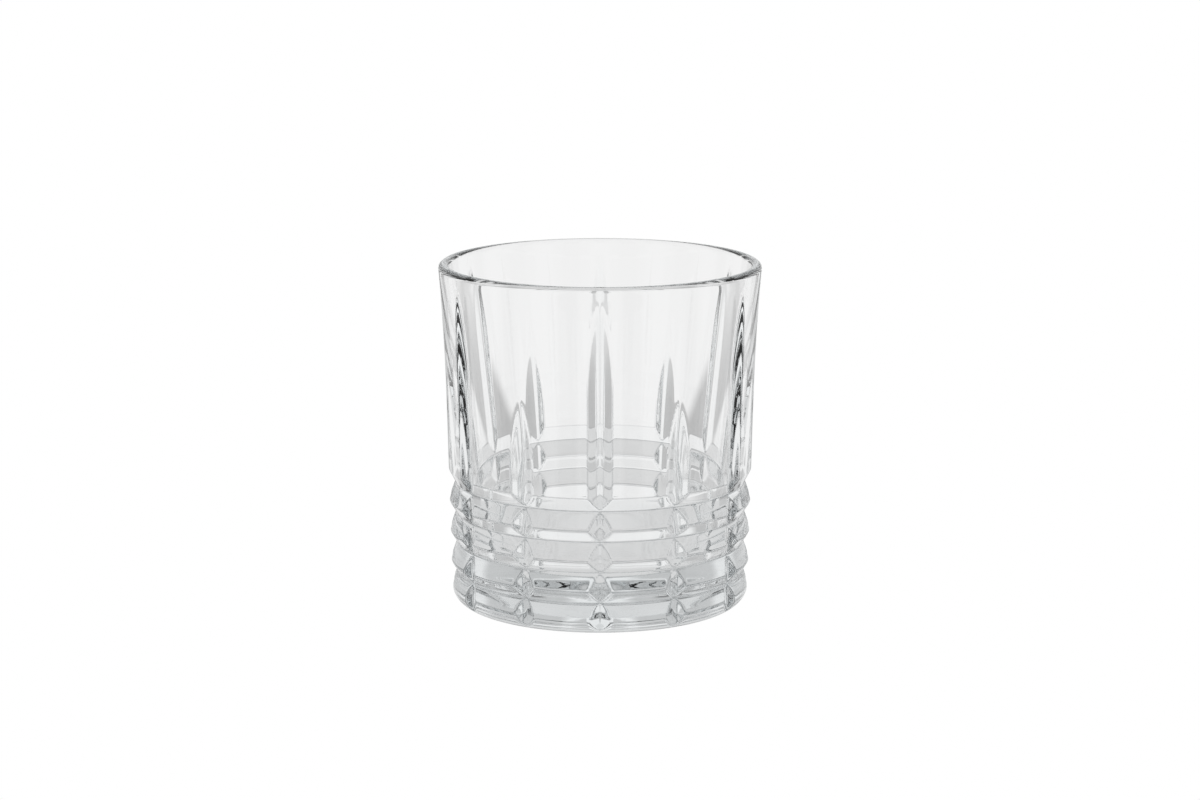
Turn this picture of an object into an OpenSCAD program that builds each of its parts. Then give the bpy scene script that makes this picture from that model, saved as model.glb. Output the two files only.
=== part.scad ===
// Whiskey tumbler: one piece of clear pressed glass with a heavy base.
// The pattern is cut into the outside of a smooth blank: upright V flutes, long and short in turn,
// and level V rings that cross them low down and leave tiers of raised blocks.
// The origin is the middle of the foot, on the surface that the glass stands on. Millimetres.

/* [Blank] */
// Outside diameter over the lip
lip_d = 84; // [82:0.5:88]
// Overall height
height = 90; // [88:1:98]
// Outside diameter of the straight wall where it meets the foot
foot_d = 77.8; // [76:0.2:78.8]
// How far the lip stands outside the straight wall
flare = 1.1; // [1.1:0.1:1.5]
// Height of the flared zone below the lip
flare_h = 38; // [25:1:45]
// Radius of the rounded edge of the foot
foot_r = 4.5; // [3:0.5:6]

/* [Cup] */
// Thickness of the wall at the lip, which is fully rounded
lip_wall = 3; // [2.8:0.1:4]
// Inside diameter where the wall reaches the floor, before the corner is rounded
cup_floor_d = 62; // [58:0.5:68]
// Thickness of the glass under the cup
base_t = 11; // [10:0.5:20]
// Radius of the corner between the cup's wall and floor
cup_corner_r = 9; // [4:0.5:12]
// Height of the hollow under the base
push_up = 0.8; // [0.4:0.1:1.5]
// Width of the flat ring that the glass stands on
bearing_w = 2.5; // [1.5:0.5:5]

/* [Flutes] */
// Number of upright flutes, long and short in turn
flute_count = 12; // [8:2:14]
// Depth of a flute
flute_depth = 1.85; // [1.6:0.05:2.1]
// Width of a flute across its two edges
flute_w = 6; // [5:0.1:7]
// Height up to which a long flute has its full depth
long_full_z = 62; // [58:1:68]
// Height of the point that a long flute narrows to
long_tip_z = 87; // [82:0.5:87]
// Height up to which a short flute has its full depth
short_full_z = 36; // [34:1:42]
// Height of the point that a short flute narrows to
short_tip_z = 61.5; // [56:0.5:66]

/* [Rings] */
// Number of level rings
ring_count = 4; // [2:1:4]
// Height of the lowest ring's valley above the foot
ring_z = 8.3; // [7.5:0.1:9]
// Distance from one ring's valley to the next
ring_pitch = 8; // [7.8:0.1:8.4]
// Depth of a ring
ring_depth = 1.7; // [1.4:0.05:1.75]
// Height of the flat chamfer above each valley
chamfer_h = 3; // [2.8:0.1:3.6]
// Height of the chamfer above the highest valley
top_chamfer_h = 3.8; // [2.8:0.1:4.5]

/* [Hidden] */

// Steps in a turn of the glass
glass_steps = 180;
// Steps in each curved stretch of the outline
arc_steps = 6;
// Radius of the rounded lip
lip_r = lip_wall / 2;
// Below a valley a block's face comes out steeply at first and then more gently:
// how deep it still is, and how far below the valley, where it turns
bulge_depth = ring_depth * 0.45;
bulge_drop = ring_pitch * 0.14;
// Height of the narrow crest between a block's face and the chamfer below it, and of the face
crest_h = 0.4;
block_face_h = ring_pitch - chamfer_h - crest_h;
// How far the cutters reach past the wall
ring_clear = 0.1;
flute_reach = 4;
// A flute's half width for each millimetre of its depth, and the wedges that shape its point
flute_side = flute_w / 2 / flute_depth;
fade_steps = 3;

// Height at which the glass is widest, where the rounding of the lip starts
lip_z = height - lip_r;
// Radius of the straight wall at height z, and of the flared wall
function straight_r(z) = foot_d / 2 + (lip_d / 2 - flare - foot_d / 2) * z / lip_z;
function wall_r(z) = straight_r(z) + flare * pow(max(0, z - height + flare_h) / (flare_h - lip_r), 2);

// Points on an arc from angle a0 to a1
function arc(x, z, r, a0, a1) =
    [for (i = [0:arc_steps]) let (a = a0 + (a1 - a0) * i / arc_steps) [x + r * cos(a), z + r * sin(a)]];

wall_lean = atan(straight_r(1) - straight_r(0));
lip_x = lip_d / 2 - lip_r;
cup_lean = atan((lip_x - lip_r - cup_floor_d / 2) / (lip_z - base_t));
cup_corner_x = cup_floor_d / 2 + cup_corner_r * (tan(cup_lean) - 1 / cos(cup_lean));
foot_x = straight_r(foot_r) - foot_r;
flare_steps = [for (i = [0:arc_steps - 1]) height - flare_h + (flare_h - lip_r) * i / arc_steps];

// Half of the blank's section, from the middle of the base round the outside to the cup's floor
module blank_section() {
    under_r = foot_x - bearing_w;
    polygon(concat(
        [for (i = [0:arc_steps]) [under_r * i / arc_steps, push_up * (1 - pow(i / arc_steps, 2))]],
        arc(foot_x, foot_r, foot_r, -90, 0),
        [for (z = flare_steps) [wall_r(z), z]],
        arc(lip_x, lip_z, lip_r, 0, 180),
        arc(cup_corner_x, base_t + cup_corner_r, cup_corner_r, -cup_lean, -90),
        [[0, base_t]]
    ));
}

// Spins a section round the axis, starting midway between two flutes
module spin() {
    rotate([0, 0, 180 / flute_count])
        rotate_extrude($fn = glass_steps) children();
}

// One level ring: a flat chamfer down to the valley, then the bulging top of the blocks below it
module ring_cut(z, chamfer) {
    top_z = z + chamfer;
    turn_z = z - bulge_drop;
    face_z = z - block_face_h;
    spin()
        polygon([
            [wall_r(top_z) - ring_depth, z],
            [wall_r(turn_z) - bulge_depth, turn_z],
            [wall_r(face_z), face_z],
            [wall_r(face_z) + ring_clear, face_z],
            [wall_r(top_z) + ring_clear, top_z + ring_clear * chamfer / ring_depth],
        ]);
}

// A V-edged wedge that opens towards +X. Its edge passes through the origin and leans out by slope
module wedge(reach, slope) {
    side = flute_side * reach;
    rotate([0, atan(slope), 0])
        linear_extrude(2 * height, center = true)
            polygon([[0, 0], [reach, side], [reach, -side]]);
}

// One upright flute on the +X side. An upright wedge gives its full depth, and wedges that lean out
// more and more trim it above full_z, so that it narrows to a point at tip_z
module flute_cut(full_z, tip_z) {
    rise = tip_z - full_z;
    depth = flute_depth + wall_r(tip_z) - straight_r(tip_z);
    translate([straight_r(0) - flute_depth, 0, 0])
        rotate([0, wall_lean, 0])
            intersection() {
                wedge(flute_reach, 0);
                intersection_for (i = [1:fade_steps])
                    translate([0, 0, full_z + rise * i / fade_steps / 2])
                        wedge(height, 2 * depth * i / fade_steps / rise);
            }
}

// The tumbler: one solid, with a long flute facing -Y
module tumbler() {
    color([0.86, 0.93, 0.94, 0.5])
        difference() {
            spin() blank_section();
            for (i = [0:ring_count - 1])
                ring_cut(ring_z + ring_pitch * i, i == ring_count - 1 ? top_chamfer_h : chamfer_h);
            for (i = [0:flute_count - 1])
                rotate([0, 0, -90 + 360 * i / flute_count])
                    if (i % 2 == 0) flute_cut(long_full_z, long_tip_z);
                    else flute_cut(short_full_z, short_tip_z);
        }
}

tumbler();
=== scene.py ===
import math
import bpy
import numpy as np
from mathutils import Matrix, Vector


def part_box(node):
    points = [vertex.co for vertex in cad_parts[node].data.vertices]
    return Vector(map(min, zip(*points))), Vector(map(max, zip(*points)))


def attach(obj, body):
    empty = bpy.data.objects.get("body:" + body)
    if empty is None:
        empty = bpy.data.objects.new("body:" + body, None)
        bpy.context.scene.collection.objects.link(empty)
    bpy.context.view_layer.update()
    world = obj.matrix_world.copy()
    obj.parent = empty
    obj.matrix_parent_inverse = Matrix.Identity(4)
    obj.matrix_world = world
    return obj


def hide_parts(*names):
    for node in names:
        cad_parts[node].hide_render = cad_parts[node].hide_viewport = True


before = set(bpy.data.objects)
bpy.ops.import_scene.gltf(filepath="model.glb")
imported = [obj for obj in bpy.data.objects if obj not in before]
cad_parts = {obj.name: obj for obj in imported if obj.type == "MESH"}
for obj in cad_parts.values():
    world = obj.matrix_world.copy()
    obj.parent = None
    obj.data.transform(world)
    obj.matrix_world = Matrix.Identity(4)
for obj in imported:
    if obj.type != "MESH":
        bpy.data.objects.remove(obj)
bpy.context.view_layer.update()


# ---- The tumbler: its blank ----
# A thick-walled tumbler of clear soda-lime glass. It is pressed in one shot between a mould and a
# plunger, and its lip is fire polished. Its half section is drawn by extruding one point from the
# middle of the base, round the foot, wall and lip, to the middle of the cup's floor, and then spun.
MM = 0.001
cad_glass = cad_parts["tumbler"]
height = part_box("tumbler")[1].z
lip_r = max(math.hypot(v.co.x, v.co.y) for v in cad_glass.data.vertices)
foot_wall_r = 38.9 * MM
flare = 1.1 * MM
flare_h = 38 * MM
foot_round = 4.5 * MM
lip_round = 1.5 * MM
bearing_w = 2.5 * MM
push_up = 0.8 * MM
base_t = 11 * MM
cup_floor_r = 31 * MM
cup_corner = 9 * MM
floor_dome = 0.4 * MM
lip_z = height - lip_round
lip_x = lip_r - lip_round
foot_x = foot_wall_r - foot_round

# the rings of the pressed pattern: the valley of each, and the crests above and below it
ring_count = 4
ring_z = 8.3 * MM
ring_pitch = 8 * MM
chamfer_h = 3 * MM
top_chamfer_h = 3.6 * MM
crest_h = 0.4 * MM
block_face_h = ring_pitch - chamfer_h - crest_h
valleys = [ring_z + ring_pitch * i for i in range(ring_count)]
pattern_top = valleys[-1] + top_chamfer_h
crests = [v + chamfer_h for v in valleys[:-1]] + [pattern_top]
crests += [v - block_face_h for v in valleys]

# the section's points crowd round those levels, and are evenly spread everywhere else
fine_gap = 0.18 * MM
gap_growth = 0.3
coarse_gap = 0.62 * MM
plain_wall_steps = 36
lip_steps = 14
cup_wall_steps = 12
bend_steps = 12
base_steps = 7


def straight_r(z):
    """Radius of the straight cone that the wall follows up to the flare."""
    return foot_wall_r + (lip_r - flare - foot_wall_r) * z / lip_z


def wall_r(z):
    """Radius of the smooth outer wall, flared towards the lip."""
    up = np.maximum(0, z - height + flare_h) / (flare_h - lip_round)
    return straight_r(z) + flare * up**2


def arc(x, z, radius, start, end, steps):
    """Points round an arc, both ends included, with its angles in degrees."""
    turn = np.radians(np.linspace(start, end, steps + 1))
    return list(zip(x + radius * np.cos(turn), z + radius * np.sin(turn)))


def wall_levels():
    """Heights of the outer wall's points between the foot's rounding and the lip's."""
    levels = []
    z = foot_round
    while z < pattern_top + 1 * MM:
        nearest = min(abs(z - level) for level in valleys + crests)
        z += min(coarse_gap, fine_gap + gap_growth * nearest)
        levels.append(z)
    plain = np.linspace(levels[-1], lip_z, plain_wall_steps + 1)[1:-1]
    return levels + list(plain)


def half_section():
    """The section's points (radius, height) from the middle of the base to the middle of the floor."""
    under_r = foot_x - bearing_w
    outwards = np.linspace(0, 1, base_steps + 1)
    inwards = np.linspace(1, 0, base_steps + 1)[1:]
    downwards = np.linspace(0, 1, cup_wall_steps + 1)[1:-1]
    points = [(under_r * t, push_up * (1 - t * t)) for t in outwards]
    points += arc(foot_x, foot_round, foot_round, -90, 0, bend_steps)
    points += [(wall_r(z), z) for z in wall_levels()]
    points += arc(lip_x, lip_z, lip_round, 0, 180, lip_steps)
    lean = math.atan((lip_x - lip_round - cup_floor_r) / (lip_z - base_t))
    corner_x = cup_floor_r + cup_corner * (math.tan(lean) - 1 / math.cos(lean))
    corner = arc(corner_x, base_t + cup_corner, cup_corner, -math.degrees(lean), -90, bend_steps)
    top, low = np.array(points[-1]), np.array(corner[0])
    points += [tuple(top + (low - top) * t) for t in downwards]
    points += corner
    points += [(corner_x * t, base_t + floor_dome * (1 - t * t)) for t in inwards]
    return points


# the spin makes this many columns of faces from one flute to the next
flute_count = 12
columns = 40
weld = 0.01 * MM
section = half_section()
bpy.ops.object.select_all(action="DESELECT")
bpy.ops.mesh.primitive_plane_add(size=MM, location=(0, 0, 0))
glass = bpy.context.object
glass.name = glass.data.name = "glass_tumbler"
bpy.ops.object.mode_set(mode="EDIT")
bpy.ops.mesh.select_all(action="SELECT")
bpy.ops.mesh.merge(type="CENTER")
bpy.ops.transform.translate(value=(section[0][0], 0, section[0][1]))
for (r0, z0), (r1, z1) in zip(section, section[1:]):
    bpy.ops.mesh.extrude_region_move(TRANSFORM_OT_translate={"value": (r1 - r0, 0, z1 - z0)})
bpy.ops.mesh.select_all(action="SELECT")
bpy.ops.mesh.spin(steps=flute_count * columns, angle=2 * math.pi, center=(0, 0, 0), axis=(0, 0, 1))
bpy.ops.mesh.select_all(action="SELECT")
bpy.ops.mesh.remove_doubles(threshold=weld)
bpy.ops.mesh.normals_make_consistent(inside=False)
bpy.ops.object.mode_set(mode="OBJECT")


# ---- The tumbler: its pressed pattern ----
# The mould's inside carries the pattern: twelve upright V flutes, long and short in turn, and four
# level rings that leave tiers of blocks, each with a flat chamfer at its foot and a bulging face.
# All of it is moved into the blank's outer wall, and the columns are crowded round the flutes.
flute_depth = 1.85 * MM
flute_w = 5.4 * MM
flute_shoulder = 0.1 * MM
long_full_z, long_fade = 58 * MM, 23.5 * MM
short_full_z, short_fade = 40 * MM, 21 * MM

# how far a flute's V bottom is rounded, and how far it is sunk again to win back its depth
flute_soft = 1 * MM
flute_sink = 0.55 * flute_soft

ring_depth = 1.85 * MM
ring_edge = 0.1 * MM
hip_soft = 0.1 * MM
foot_soft = 0.25 * MM
column_spread = 0.6

# a block's face leaves the valley above it as this power of the way down, blunted at its start
foot_bulge = 1 / 1.9
block_bulge = 1 / 1.15
bulge_blunt = 0.06


def soft_positive(value, softness):
    """The value where it is above nothing, with the corner at nothing rounded."""
    return (value + np.sqrt(value**2 + softness**2)) / 2


def ring_cut(z):
    """Depth of the rings at height z: a flat chamfer above each valley, a bulge below it."""
    depth = np.full_like(z, -np.inf)
    for i, valley in enumerate(valleys):
        above = z - valley
        chamfer = top_chamfer_h if i == ring_count - 1 else chamfer_h
        bulge = foot_bulge if i == 0 else block_bulge
        down = np.hypot(np.minimum(above, 0) / block_face_h, bulge_blunt)
        side = np.where(above >= 0, 1 - above / chamfer, 1 - down**bulge)
        depth = np.maximum(depth, ring_depth * side)
    return depth


def flute_cut(across, z, is_long):
    """Depth of the nearest flute, at a distance across from its middle and at height z."""
    full_z = np.where(is_long, long_full_z, short_full_z)
    fade = np.where(is_long, long_fade, short_fade)
    valley = flute_depth * (1 - (np.maximum(0, z - full_z) / fade) ** 2)
    valley = np.maximum(valley, -flute_depth) + wall_r(z) - straight_r(z)
    slope = flute_depth / (flute_w / 2)
    side = slope * (np.hypot(across, flute_soft) - flute_sink)
    return valley - side


co = np.empty(len(glass.data.vertices) * 3)
glass.data.vertices.foreach_get("co", co)
x, y, z = co.reshape(-1, 3).T
r = np.hypot(x, y)
flute_turn = 2 * math.pi / flute_count
turn = (np.arctan2(y, x) + math.pi / 2) / flute_turn
nearest = np.round(turn)
is_long = nearest % 2 == 0
off = turn - nearest
off = column_spread * off + (1 - column_spread) * 4 * off**3
cavity_r = cup_floor_r + (lip_x - lip_round - cup_floor_r) * (z - base_t) / (lip_z - base_t)
outside = (r > (cavity_r + wall_r(z)) / 2) & (z < lip_z)

# the deeper of ring and flute is pressed in, but round the foot only what lies past its rounding
ring_depths = ring_cut(z)
flute_depths = flute_cut(off * flute_turn * foot_wall_r, z, is_long)
rings = soft_positive(ring_depths, ring_edge)
flutes = soft_positive(flute_depths, flute_shoulder)
pressed = (rings + flutes + np.hypot(rings - flutes, hip_soft)) / 2
foot_recess = wall_r(z) - r
past_rounding = soft_positive(pressed - foot_recess, foot_soft)
pressed = np.where(foot_recess > weld, past_rounding, pressed)
pressed = np.where(outside, pressed, 0)
r = r - pressed
angle = (nearest + off) * flute_turn - math.pi / 2
co = np.stack([r * np.cos(angle), r * np.sin(angle), z], axis=-1)
glass.data.vertices.foreach_set("co", co.ravel())
glass.data.update()
bpy.ops.object.shade_smooth()

# painted shade lines go where two faces of the pattern meet: along the rings' valleys and crests, the
# flutes' borders, and the hips between a flute and a ring, but not at the shallow tip of a flute
edge_w = 0.14 * MM
hip_from = 0.15 * MM
off_level = np.min([abs(z - level) for level in valleys + crests], axis=0)
on_ring = np.exp(-((off_level / edge_w) ** 2)) * (ring_depths > flute_depths)
deep = np.clip(flute_cut(0 * z, z, is_long) / flute_depth, 0, 1)
on_border = np.exp(-((flute_depths / edge_w) ** 2)) * (ring_depths < 0) * deep**2
on_hip = np.exp(-(((ring_depths - flute_depths) / edge_w) ** 2)) * (ring_depths > hip_from)
edges = np.where(outside & (z > foot_round / 2), np.max([on_ring, on_border, on_hip], axis=0), 0)


# ---- The tumbler: its glass ----
# Clear soda-lime glass with a faint cold tint in its thick parts. The wall and lip are smooth from
# the fire. The pattern kept the mould's skin, so it is slightly uneven and not quite as clear.
glass_ior = 1.52
white = (1, 1, 1, 1)
depth_tint = (0.86, 0.93, 0.96, 1)
depth_density = 3.5
skin_tint = (0.955, 0.975, 0.98, 1)
skin_from, skin_full = 0.02, 0.25
skin_roughness = 0.02
# painted shade: the grey of the fine lines painted where the pattern's faces meet, and how they fade
edge_grey = (0.12, 0.15, 0.17, 1)
edge_from = 0.25
edge_least = 0.35
wave_stretch = (3, 3, 1)
wave_height = 0.5
skin_height = 0.12
speck_from, speck_full = 0.68, 0.78
speck_height = 0.03
relief_depth = 0.05 * MM
relief_strength = 0.5


class Wire:
    """A value in a shader. Python's operators on it add Math nodes to its tree."""

    def __init__(self, socket):
        self.socket = socket

    def maths(self, operation, *values):
        """The result of a Math node on the values."""
        settings = {"operation": operation}
        return Wire(add_node(self.socket.id_data, "ShaderNodeMath", settings, *values).outputs[0])

    def __add__(self, other):
        return self.maths("ADD", self, other)

    def __sub__(self, other):
        return self.maths("SUBTRACT", self, other)

    def __rsub__(self, other):
        return self.maths("SUBTRACT", other, self)

    def __mul__(self, other):
        return self.maths("MULTIPLY", self, other)

    def step(self, low, high):
        """Rises smoothly from 0 at low to 1 at high."""
        settings = {"interpolation_type": "SMOOTHSTEP"}
        node = add_node(self.socket.id_data, "ShaderNodeMapRange", settings, self, low, high)
        return Wire(node.outputs[0])

    __radd__, __rmul__ = __add__, __mul__


def add_node(tree, kind, settings, *values, **named):
    """Adds a node, makes its settings, and gives its sockets values or wires, in order or by name."""
    node = tree.nodes.new(kind)
    for setting, value in settings.items():
        setattr(node, setting, value)
    sockets = list(enumerate(values)) + [(n.replace("_", " "), v) for n, v in named.items()]
    for key, value in sockets:
        if isinstance(value, Wire):
            tree.links.new(value.socket, node.inputs[key])
        else:
            node.inputs[key].default_value = value
    return node


def empty_tree(owner):
    """The node tree of a material or a world, with nothing in it."""
    owner.use_nodes = True
    owner.node_tree.nodes.clear()
    return owner.node_tree


clear_glass = bpy.data.materials.new("clear_glass")
tree = empty_tree(clear_glass)
place = Wire(add_node(tree, "ShaderNodeTexCoord", {}).outputs["Object"])


def marked(name):
    """The value that the glass's points hold under a name."""
    return Wire(add_node(tree, "ShaderNodeAttribute", {"attribute_name": name}).outputs["Fac"])


def mottle(scale, detail, stretch=(1, 1, 1)):
    """Soft uneven spots, scale to the metre, drawn out along the axes by stretch."""
    settings = {"vector_type": "TEXTURE"}
    spot = add_node(tree, "ShaderNodeMapping", settings, Vector=place, Scale=stretch)
    spot = Wire(spot.outputs[0])
    noise = add_node(tree, "ShaderNodeTexNoise", {}, Vector=spot, Scale=scale, Detail=detail)
    return Wire(noise.outputs[0])


def mix(below, above, factor):
    """A colour that goes from below to above, each a colour or a wire, as the factor rises."""
    node = add_node(tree, "ShaderNodeMix", {"data_type": "RGBA"}, Factor=factor)
    for key, colour in ((6, below), (7, above)):
        if isinstance(colour, Wire):
            tree.links.new(colour.socket, node.inputs[key])
        else:
            node.inputs[key].default_value = colour
    return Wire(node.outputs[2])


# settling waves on the wall, finer unevenness in the pattern, and specks of mould skin
cut_mask = marked("pressed").step(skin_from, skin_full)
waves = mottle(70, 1, wave_stretch) * wave_height
skin = mottle(420, 3) * cut_mask * skin_height
specks = mottle(2600, 1).step(speck_from, speck_full) * cut_mask * speck_height
bump = add_node(
    tree,
    "ShaderNodeBump",
    {},
    Strength=relief_strength,
    Distance=relief_depth,
    Height=waves + skin + specks,
)

# light is thrown far aside where the pattern's faces meet, so a fine grey shade line is painted there
tint = mix(white, skin_tint, cut_mask * mottle(240, 2))
edge_mark = marked("edge").step(edge_from, 1) * (edge_least + (1 - edge_least) * mottle(300, 2))
surface = add_node(
    tree,
    "ShaderNodeBsdfPrincipled",
    {},
    Base_Color=mix(tint, edge_grey, edge_mark),
    Roughness=cut_mask * mottle(500, 2) * skin_roughness,
    IOR=glass_ior,
    Normal=Wire(bump.outputs[0]),
    Transmission_Weight=1,
)
depth = add_node(tree, "ShaderNodeVolumeAbsorption", {}, Color=depth_tint, Density=depth_density)
add_node(
    tree,
    "ShaderNodeOutputMaterial",
    {},
    Surface=Wire(surface.outputs[0]),
    Volume=Wire(depth.outputs[0]),
)
# the pattern's depth and the painted shade lines are kept on the glass's points
for name, value in (("pressed", np.maximum(pressed, 0) / ring_depth), ("edge", edges)):
    marks = glass.data.attributes.new(name, "FLOAT", "POINT")
    marks.data.foreach_set("value", value.astype(np.float32))
glass.data.materials.append(clear_glass)

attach(glass, "root")
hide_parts("tumbler")


# ---- The studio light ----
# A grey tent, with a soft white panel standing low down at every 45 degrees of turn and dark flags
# hung higher up between them, so that the glass is edged with darks from every side. The camera
# itself sees a plain white tent. Angles are in degrees.
panel_count = 8
panel_half = 8
panel_soft = 3
panel_top = 14
panel_fade = 7
flag_from = 15
flag_soft = 4
flag_low, flag_high = 18, 34
flag_end_soft = 2
ceiling_from, ceiling_full = 36, 50
tent_glow = 0.56
panel_glow = 0.28
flag_dark = 0.4
ceiling_dark = 0.1


def split(tree, output):
    """The X, Y and Z of a Texture Coordinate output."""
    source = Wire(add_node(tree, "ShaderNodeTexCoord", {}).outputs[output])
    return [Wire(axis) for axis in add_node(tree, "ShaderNodeSeparateXYZ", {}, source).outputs]


def off_panel(sideways, ahead):
    """Angle in degrees between a level direction and the middle of the nearest panel."""
    bearing = sideways.maths("ARCTAN2", sideways, ahead) * math.degrees(1)
    half_turn = 180 / panel_count
    return bearing.maths("ABSOLUTE", bearing.maths("WRAP", bearing, half_turn, -half_turn))


def white_to_camera(tree, glow):
    """The glow, raised to full white for the camera's own rays."""
    seen = Wire(add_node(tree, "ShaderNodeLightPath", {}).outputs["Is Camera Ray"])
    return glow.maths("MAXIMUM", glow, seen)


tent = bpy.data.worlds.new("tent")
bpy.context.scene.world = tent
tree = empty_tree(tent)
sideways, ahead, up = split(tree, "Generated")
rise = up.maths("ARCSINE", up) * math.degrees(1)
off_middle = off_panel(sideways, ahead)
panels = 1 - off_middle.step(panel_half - panel_soft, panel_half + panel_soft)
panels = panels * (1 - rise.step(panel_top, panel_top + panel_fade))
flags = off_middle.step(flag_from, flag_from + flag_soft)
flags = flags * rise.step(flag_low - flag_end_soft, flag_low + flag_end_soft)
flags = flags * (1 - rise.step(flag_high - flag_end_soft, flag_high + flag_end_soft))
ceiling = rise.step(ceiling_from, ceiling_full)
glow = panels * panel_glow + tent_glow - ceiling * ceiling_dark - flags * flag_dark
glow = white_to_camera(tree, glow)
light = add_node(tree, "ShaderNodeBackground", {}, Color=white, Strength=glow)
add_node(tree, "ShaderNodeOutputWorld", {}, Surface=Wire(light.outputs[0]))


# ---- The table top ----
# A sheet of white acrylic lit from below, so that it shows no shadow. To the glass it has a painted
# pool of light in front of each panel and painted shade, greyest in a ring round the tumbler between
# them, and to the camera it is plain white. It fills every view.
table_w = 8
table_drop = 0.2 * MM
table_glow = 0.7
# the painted shade ring and the painted pools of light: how dark and how bright they are, and where
# they lie
painted_shade_depth = 0.22
dark_from, dark_full = 80 * MM, 120 * MM
pale_from, pale_full = 180 * MM, 400 * MM
painted_pool_glow = 0.9
pool_half = 15.5
pool_soft = 1.5
pool_from, pool_full = 90 * MM, 120 * MM
bpy.ops.object.select_all(action="DESELECT")
bpy.ops.mesh.primitive_plane_add(size=table_w, location=(0, 0, -table_drop))
bpy.ops.object.transform_apply()
table_top = bpy.context.object
table_top.name = table_top.data.name = "table_top"
acrylic_with_painted_light = bpy.data.materials.new("acrylic_with_painted_light")
tree = empty_tree(acrylic_with_painted_light)
sideways, ahead, _ = split(tree, "Object")
reach = sideways.maths("SQRT", sideways * sideways + ahead * ahead)
# painted shade: a greyer ring round the tumbler
painted_shade_ring = reach.step(dark_from, dark_full) * (1 - reach.step(pale_from, pale_full))
# painted light: a bright pool in front of each panel, starting a little way out
painted_light_pools = 1 - off_panel(sideways, ahead).step(pool_half - pool_soft, pool_half + pool_soft)
painted_light_pools = painted_light_pools * reach.step(pool_from, pool_full)
level = table_glow - painted_shade_ring * painted_shade_depth
level = white_to_camera(tree, level + painted_light_pools * (painted_pool_glow - level))
acrylic = add_node(tree, "ShaderNodeEmission", {}, Color=white, Strength=level)
add_node(tree, "ShaderNodeOutputMaterial", {}, Surface=Wire(acrylic.outputs[0]))
table_top.data.materials.append(acrylic_with_painted_light)


# ---- The camera ----
# A long lens a little above the lip, looking down on the front flute. Light may pass through the
# thick glass many times, but is reflected in it fewer times, so light caught in the base goes dark.
camera_back, camera_up = 0.865, 0.227
camera_tilt = 78.65
passes = 32
reflections = 12
bpy.ops.object.camera_add(
    location=(0, -camera_back, camera_up), rotation=(math.radians(camera_tilt), 0, 0)
)
camera = bpy.context.object
camera.name = camera.data.name = "camera"
camera.data.sensor_width = 36
camera.data.lens = 101.25
camera.data.clip_start = 0.01
scene = bpy.context.scene
scene.camera = camera
scene.view_settings.view_transform = "Standard"
scene.cycles.max_bounces = passes
scene.cycles.transmission_bounces = passes
scene.cycles.glossy_bounces = reflections
